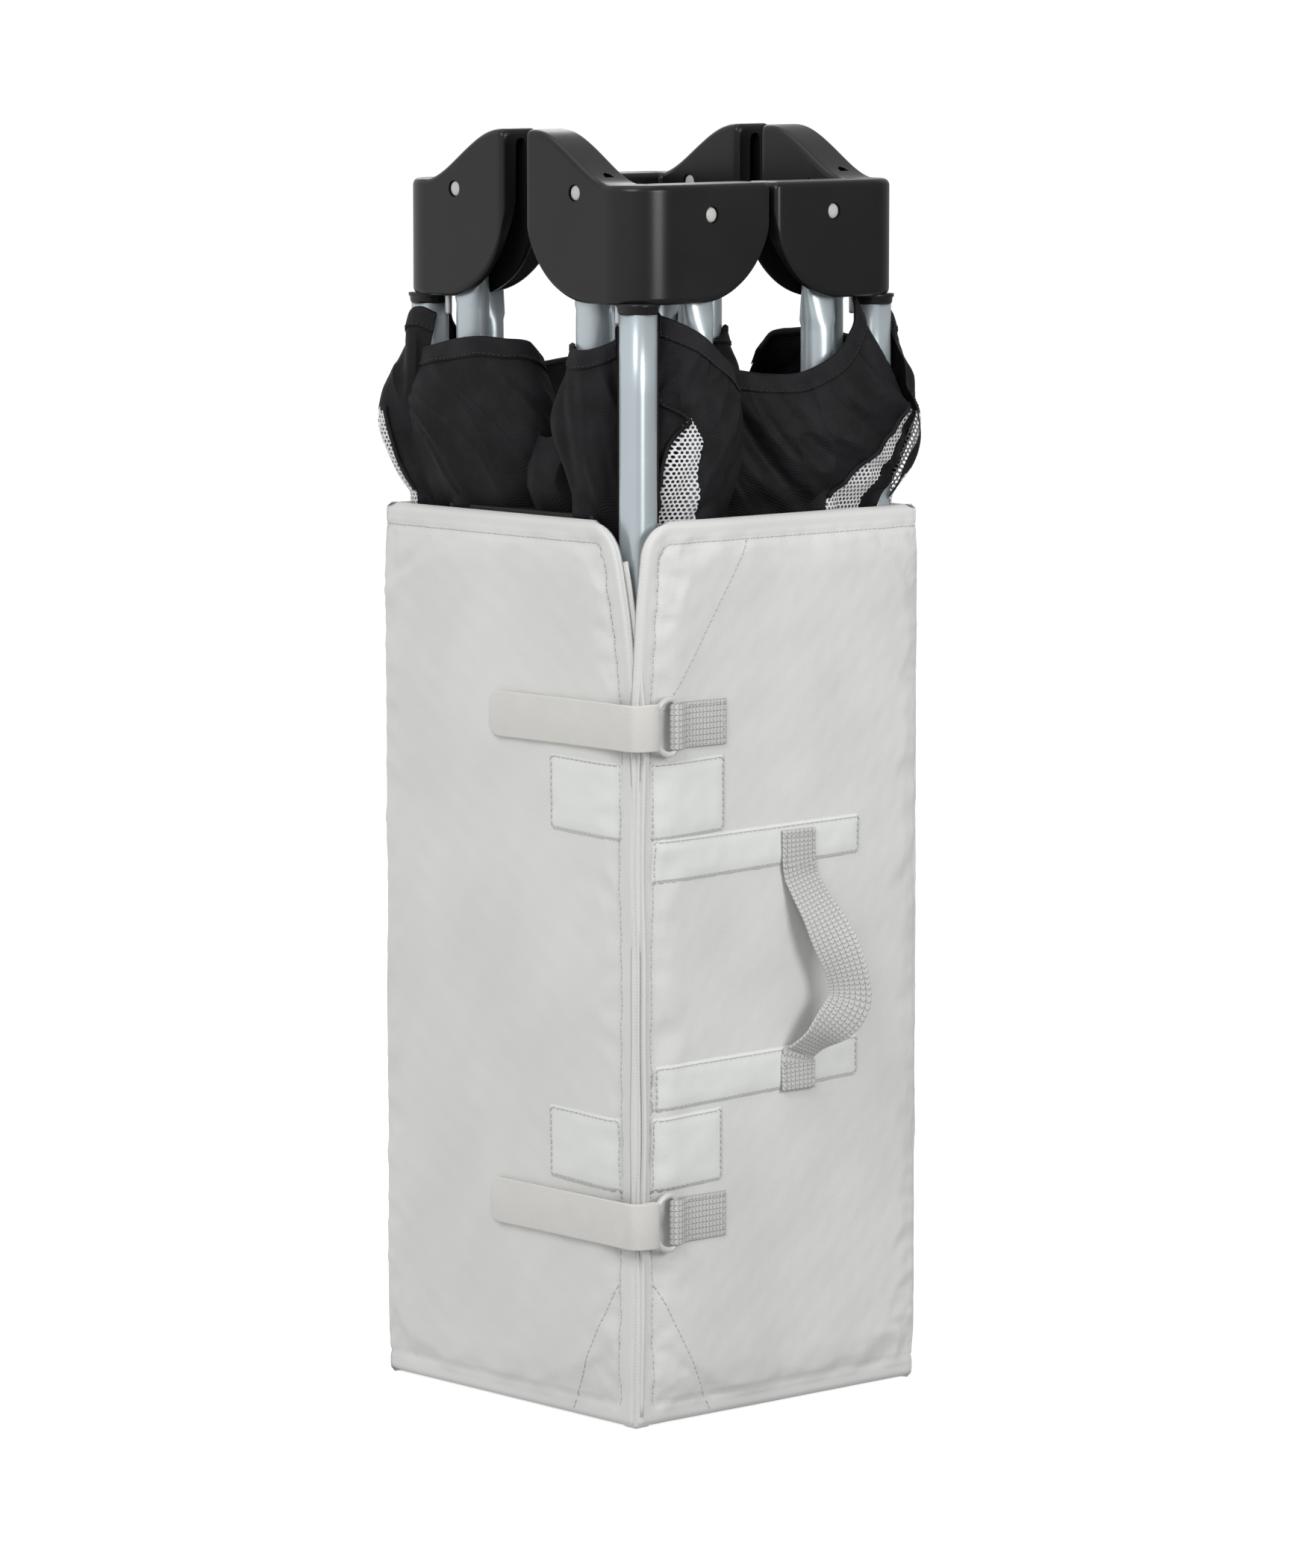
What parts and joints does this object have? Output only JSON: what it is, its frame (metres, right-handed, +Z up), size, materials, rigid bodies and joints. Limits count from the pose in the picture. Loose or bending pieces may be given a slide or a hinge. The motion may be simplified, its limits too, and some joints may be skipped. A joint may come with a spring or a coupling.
{
  "type": "folding playpen",
  "caption": "Folding playpen with four posts, hinged top rails and a centre hub, folded and wrapped in its padded mat with straps and a carry handle.",
  "frame": {"origin": "on the floor, at the middle of the folded pack", "axes": "+Z up; X across the short sides and Y across the long sides; the mat closes at the -X -Y corner and the handle is on the -Y side"},
  "size_m": [0.274, 0.3009, 0.84],
  "materials": {
    "post": "satin pale blue-grey powder coat",
    "cap": "satin-gloss charcoal black",
    "foot": "matt black",
    "pin": "pale satin rivet",
    "wall": "black polyester",
    "mat": "pale grey polyester",
    "strap": "greige hook-and-loop tape",
    "ring": "pale grey",
    "webbing": "grey herringbone webbing"
  },
  "bodies": {
    "post_sw": {"post_tube_sw": "post", "corner_cap_sw": "cap", "corner_foot_sw": "foot", "corner_pins_sw": "pin", "wall_fabric_south": "wall"},
    "strut_sw": {"base_strut_sw": "post"},
    "rail_long_sw": {"rail_long_sw": "post"},
    "rail_short_sw": {"rail_short_sw": "post"},
    "post_se": {"post_tube_se": "post", "corner_cap_se": "cap", "corner_foot_se": "foot", "corner_pins_se": "pin", "wall_fabric_east": "wall"},
    "strut_se": {"base_strut_se": "post"},
    "rail_long_se": {"rail_long_se": "post"},
    "rail_short_se": {"rail_short_se": "post"},
    "post_nw": {"post_tube_nw": "post", "corner_cap_nw": "cap", "corner_foot_nw": "foot", "corner_pins_nw": "pin", "wall_fabric_west": "wall"},
    "strut_nw": {"base_strut_nw": "post"},
    "rail_long_nw": {"rail_long_nw": "post"},
    "rail_short_nw": {"rail_short_nw": "post"},
    "post_ne": {"post_tube_ne": "post", "corner_cap_ne": "cap", "corner_foot_ne": "foot", "corner_pins_ne": "pin", "wall_fabric_north": "wall"},
    "strut_ne": {"base_strut_ne": "post"},
    "rail_long_ne": {"rail_long_ne": "post"},
    "rail_short_ne": {"rail_short_ne": "post"},
    "hub": {"hub_housing": "foot", "hub_pins": "pin", "hub_foot": "foot", "hub_pull_strap": "webbing", "floor_fabric": "wall"},
    "latch_south": {"latch_housing_south": "foot", "latch_pins_south": "pin"},
    "button_south": {"latch_button_south": "cap"},
    "latch_north": {"latch_housing_north": "foot", "latch_pins_north": "pin"},
    "button_north": {"latch_button_north": "cap"},
    "latch_west": {"latch_housing_west": "foot", "latch_pins_west": "pin"},
    "button_west": {"latch_button_west": "cap"},
    "latch_east": {"latch_housing_east": "foot", "latch_pins_east": "pin"},
    "button_east": {"latch_button_east": "cap"},
    "mat_west": {"mat_panel_west": "mat"},
    "mat_north": {"mat_panel_north": "mat"},
    "mat_east": {"mat_panel_east": "mat"},
    "mat_south": {"mat_panel_south": "mat", "ring_loop_upper": "webbing", "ring_loop_lower": "webbing"},
    "strap_upper": {"strap_upper": "strap"},
    "ring_upper": {"d_ring_upper": "ring"},
    "strap_lower": {"strap_lower": "strap"},
    "ring_lower": {"d_ring_lower": "ring"},
    "handle": {"carry_handle": "webbing"}
  },
  "joints": [
    {"name": "frame_unfold", "type": "hinge", "parent": "post_ne", "child": "strut_ne", "pos_m": [0.045, 0.045, 0.035], "axis": [0.4604, -0.8877, 0], "range_deg": [0, 90], "deforming": ["mat_panel_west", "mat_panel_north", "mat_panel_east", "mat_panel_south", "wall_fabric_west", "wall_fabric_north", "wall_fabric_east", "wall_fabric_south", "floor_fabric", "strap_upper", "strap_lower", "ring_loop_upper", "ring_loop_lower", "carry_handle", "hub_pull_strap", "d_ring_upper", "d_ring_lower"]},
    {"name": "hub_tilt_ne", "type": "hinge", "parent": "strut_ne", "child": "hub", "pos_m": [0.045, 0.045, 0.51715], "axis": [0.4604, -0.8877, 0], "range_deg": [-90, 0]},
    {"name": "strut_swing_sw", "type": "hinge", "parent": "hub", "child": "strut_sw", "pos_m": [-0.045, -0.045, 0.51715], "axis": [-0.4604, 0.8877, 0], "range_deg": [0, 90]},
    {"name": "foot_swing_sw", "type": "hinge", "parent": "strut_sw", "child": "post_sw", "pos_m": [-0.045, -0.045, 0.035], "axis": [-0.4604, 0.8877, 0], "range_deg": [-90, 0]},
    {"name": "strut_swing_se", "type": "hinge", "parent": "hub", "child": "strut_se", "pos_m": [0.045, -0.045, 0.51715], "axis": [-0.4604, -0.8877, 0], "range_deg": [0, 90]},
    {"name": "foot_swing_se", "type": "hinge", "parent": "strut_se", "child": "post_se", "pos_m": [0.045, -0.045, 0.035], "axis": [-0.4604, -0.8877, 0], "range_deg": [-90, 0]},
    {"name": "strut_swing_nw", "type": "hinge", "parent": "hub", "child": "strut_nw", "pos_m": [-0.045, 0.045, 0.51715], "axis": [0.4604, 0.8877, 0], "range_deg": [0, 90]},
    {"name": "foot_swing_nw", "type": "hinge", "parent": "strut_nw", "child": "post_nw", "pos_m": [-0.045, 0.045, 0.035], "axis": [0.4604, 0.8877, 0], "range_deg": [-90, 0]},
    {"name": "rail_swing_long_sw", "type": "hinge", "parent": "post_sw", "child": "rail_long_sw", "pos_m": [-0.054, -0.104, 0.786], "axis": [0, -1, 0], "range_deg": [0, 90]},
    {"name": "rail_swing_short_sw", "type": "hinge", "parent": "post_sw", "child": "rail_short_sw", "pos_m": [-0.104, -0.06, 0.8], "axis": [1, 0, 0], "range_deg": [0, 90]},
    {"name": "rail_swing_long_se", "type": "hinge", "parent": "post_se", "child": "rail_long_se", "pos_m": [0.054, -0.104, 0.786], "axis": [0, 1, 0], "range_deg": [0, 90]},
    {"name": "rail_swing_short_se", "type": "hinge", "parent": "post_se", "child": "rail_short_se", "pos_m": [0.104, -0.06, 0.8], "axis": [1, 0, 0], "range_deg": [0, 90]},
    {"name": "rail_swing_long_nw", "type": "hinge", "parent": "post_nw", "child": "rail_long_nw", "pos_m": [-0.054, 0.104, 0.786], "axis": [0, -1, 0], "range_deg": [0, 90]},
    {"name": "rail_swing_short_nw", "type": "hinge", "parent": "post_nw", "child": "rail_short_nw", "pos_m": [-0.104, 0.06, 0.8], "axis": [-1, 0, 0], "range_deg": [0, 90]},
    {"name": "rail_swing_long_ne", "type": "hinge", "parent": "post_ne", "child": "rail_long_ne", "pos_m": [0.054, 0.104, 0.786], "axis": [0, 1, 0], "range_deg": [0, 90]},
    {"name": "rail_swing_short_ne", "type": "hinge", "parent": "post_ne", "child": "rail_short_ne", "pos_m": [0.104, 0.06, 0.8], "axis": [-1, 0, 0], "range_deg": [0, 90]},
    {"name": "latch_tilt_south", "type": "hinge", "parent": "rail_long_sw", "child": "latch_south", "pos_m": [-0.054, -0.104, 0.358], "axis": [0, -1, 0], "range_deg": [-90, 0]},
    {"name": "latch_press_south", "type": "slide", "parent": "latch_south", "child": "button_south", "axis": [0, 0, 1], "range_m": [0, 0.004], "stiffness_N_per_m": 800, "springref_m": -0.001},
    {"name": "latch_tilt_north", "type": "hinge", "parent": "rail_long_ne", "child": "latch_north", "pos_m": [0.054, 0.104, 0.358], "axis": [0, 1, 0], "range_deg": [-90, 0]},
    {"name": "latch_press_north", "type": "slide", "parent": "latch_north", "child": "button_north", "axis": [0, 0, 1], "range_m": [0, 0.004], "stiffness_N_per_m": 800, "springref_m": -0.001},
    {"name": "latch_tilt_west", "type": "hinge", "parent": "rail_short_sw", "child": "latch_west", "pos_m": [-0.104, -0.06, 0.578], "axis": [1, 0, 0], "range_deg": [-90, 0]},
    {"name": "latch_press_west", "type": "slide", "parent": "latch_west", "child": "button_west", "axis": [0, 0, 1], "range_m": [0, 0.004], "stiffness_N_per_m": 800, "springref_m": -0.001},
    {"name": "latch_tilt_east", "type": "hinge", "parent": "rail_short_ne", "child": "latch_east", "pos_m": [0.104, 0.06, 0.578], "axis": [-1, 0, 0], "range_deg": [-90, 0]},
    {"name": "latch_press_east", "type": "slide", "parent": "latch_east", "child": "button_east", "axis": [0, 0, 1], "range_m": [0, 0.004], "stiffness_N_per_m": 800, "springref_m": -0.001},
    {"name": "mat_lay", "type": "hinge", "parent": "hub", "child": "mat_west", "pos_m": [-0.682, -0.295, 0], "axis": [0.5774, 0.5774, 0.5774], "range_deg": [-120, 0]},
    {"name": "mat_fold_north", "type": "hinge", "parent": "mat_west", "child": "mat_north", "pos_m": [-0.129, 0.129, 0], "axis": [0, 0, 1], "range_deg": [0, 90]},
    {"name": "mat_fold_east", "type": "hinge", "parent": "mat_north", "child": "mat_east", "pos_m": [0.129, 0.129, 0], "axis": [0, 0, 1], "range_deg": [0, 90]},
    {"name": "mat_fold_south", "type": "hinge", "parent": "mat_east", "child": "mat_south", "pos_m": [0.129, -0.129, 0], "axis": [0, 0, 1], "range_deg": [0, 90]},
    {"name": "strap_peel_upper", "type": "hinge", "parent": "mat_west", "child": "strap_upper", "pos_m": [-0.1296, -0.1296, 0.459], "axis": [0, 0, 1], "range_deg": [0, 120]},
    {"name": "ring_swing_upper", "type": "hinge", "parent": "mat_south", "child": "ring_upper", "pos_m": [-0.099, -0.1336, 0.459], "axis": [0, 0, 1], "range_deg": [0, 60]},
    {"name": "strap_peel_lower", "type": "hinge", "parent": "mat_west", "child": "strap_lower", "pos_m": [-0.1296, -0.1296, 0.135], "axis": [0, 0, 1], "range_deg": [0, 120]},
    {"name": "ring_swing_lower", "type": "hinge", "parent": "mat_south", "child": "ring_lower", "pos_m": [-0.099, -0.1336, 0.135], "axis": [0, 0, 1], "range_deg": [0, 60]},
    {"name": "handle_swing", "type": "hinge", "parent": "mat_south", "child": "handle", "pos_m": [0.011, -0.13, 0.2965], "axis": [0, 0, 1], "range_deg": [-60, 60]}
  ],
  "couplings": [
    {"joint": "hub_tilt_ne", "follows": "frame_unfold", "ratio": -1},
    {"joint": "strut_swing_sw", "follows": "frame_unfold", "ratio": 1},
    {"joint": "foot_swing_sw", "follows": "frame_unfold", "ratio": -1},
    {"joint": "strut_swing_se", "follows": "frame_unfold", "ratio": 1},
    {"joint": "foot_swing_se", "follows": "frame_unfold", "ratio": -1},
    {"joint": "strut_swing_nw", "follows": "frame_unfold", "ratio": 1},
    {"joint": "foot_swing_nw", "follows": "frame_unfold", "ratio": -1},
    {"joint": "rail_swing_long_sw", "follows": "frame_unfold", "ratio": 1},
    {"joint": "rail_swing_short_sw", "follows": "frame_unfold", "ratio": 1},
    {"joint": "rail_swing_long_se", "follows": "frame_unfold", "ratio": 1},
    {"joint": "rail_swing_short_se", "follows": "frame_unfold", "ratio": 1},
    {"joint": "rail_swing_long_nw", "follows": "frame_unfold", "ratio": 1},
    {"joint": "rail_swing_short_nw", "follows": "frame_unfold", "ratio": 1},
    {"joint": "rail_swing_long_ne", "follows": "frame_unfold", "ratio": 1},
    {"joint": "rail_swing_short_ne", "follows": "frame_unfold", "ratio": 1},
    {"joint": "latch_tilt_south", "follows": "frame_unfold", "ratio": -1},
    {"joint": "latch_tilt_north", "follows": "frame_unfold", "ratio": -1},
    {"joint": "latch_tilt_west", "follows": "frame_unfold", "ratio": -1},
    {"joint": "latch_tilt_east", "follows": "frame_unfold", "ratio": -1},
    {"joint": "mat_lay", "follows": "frame_unfold", "ratio": -1.3333},
    {"joint": "mat_fold_north", "follows": "frame_unfold", "ratio": 1},
    {"joint": "mat_fold_east", "follows": "frame_unfold", "ratio": 1},
    {"joint": "mat_fold_south", "follows": "frame_unfold", "ratio": 1}
  ]
}
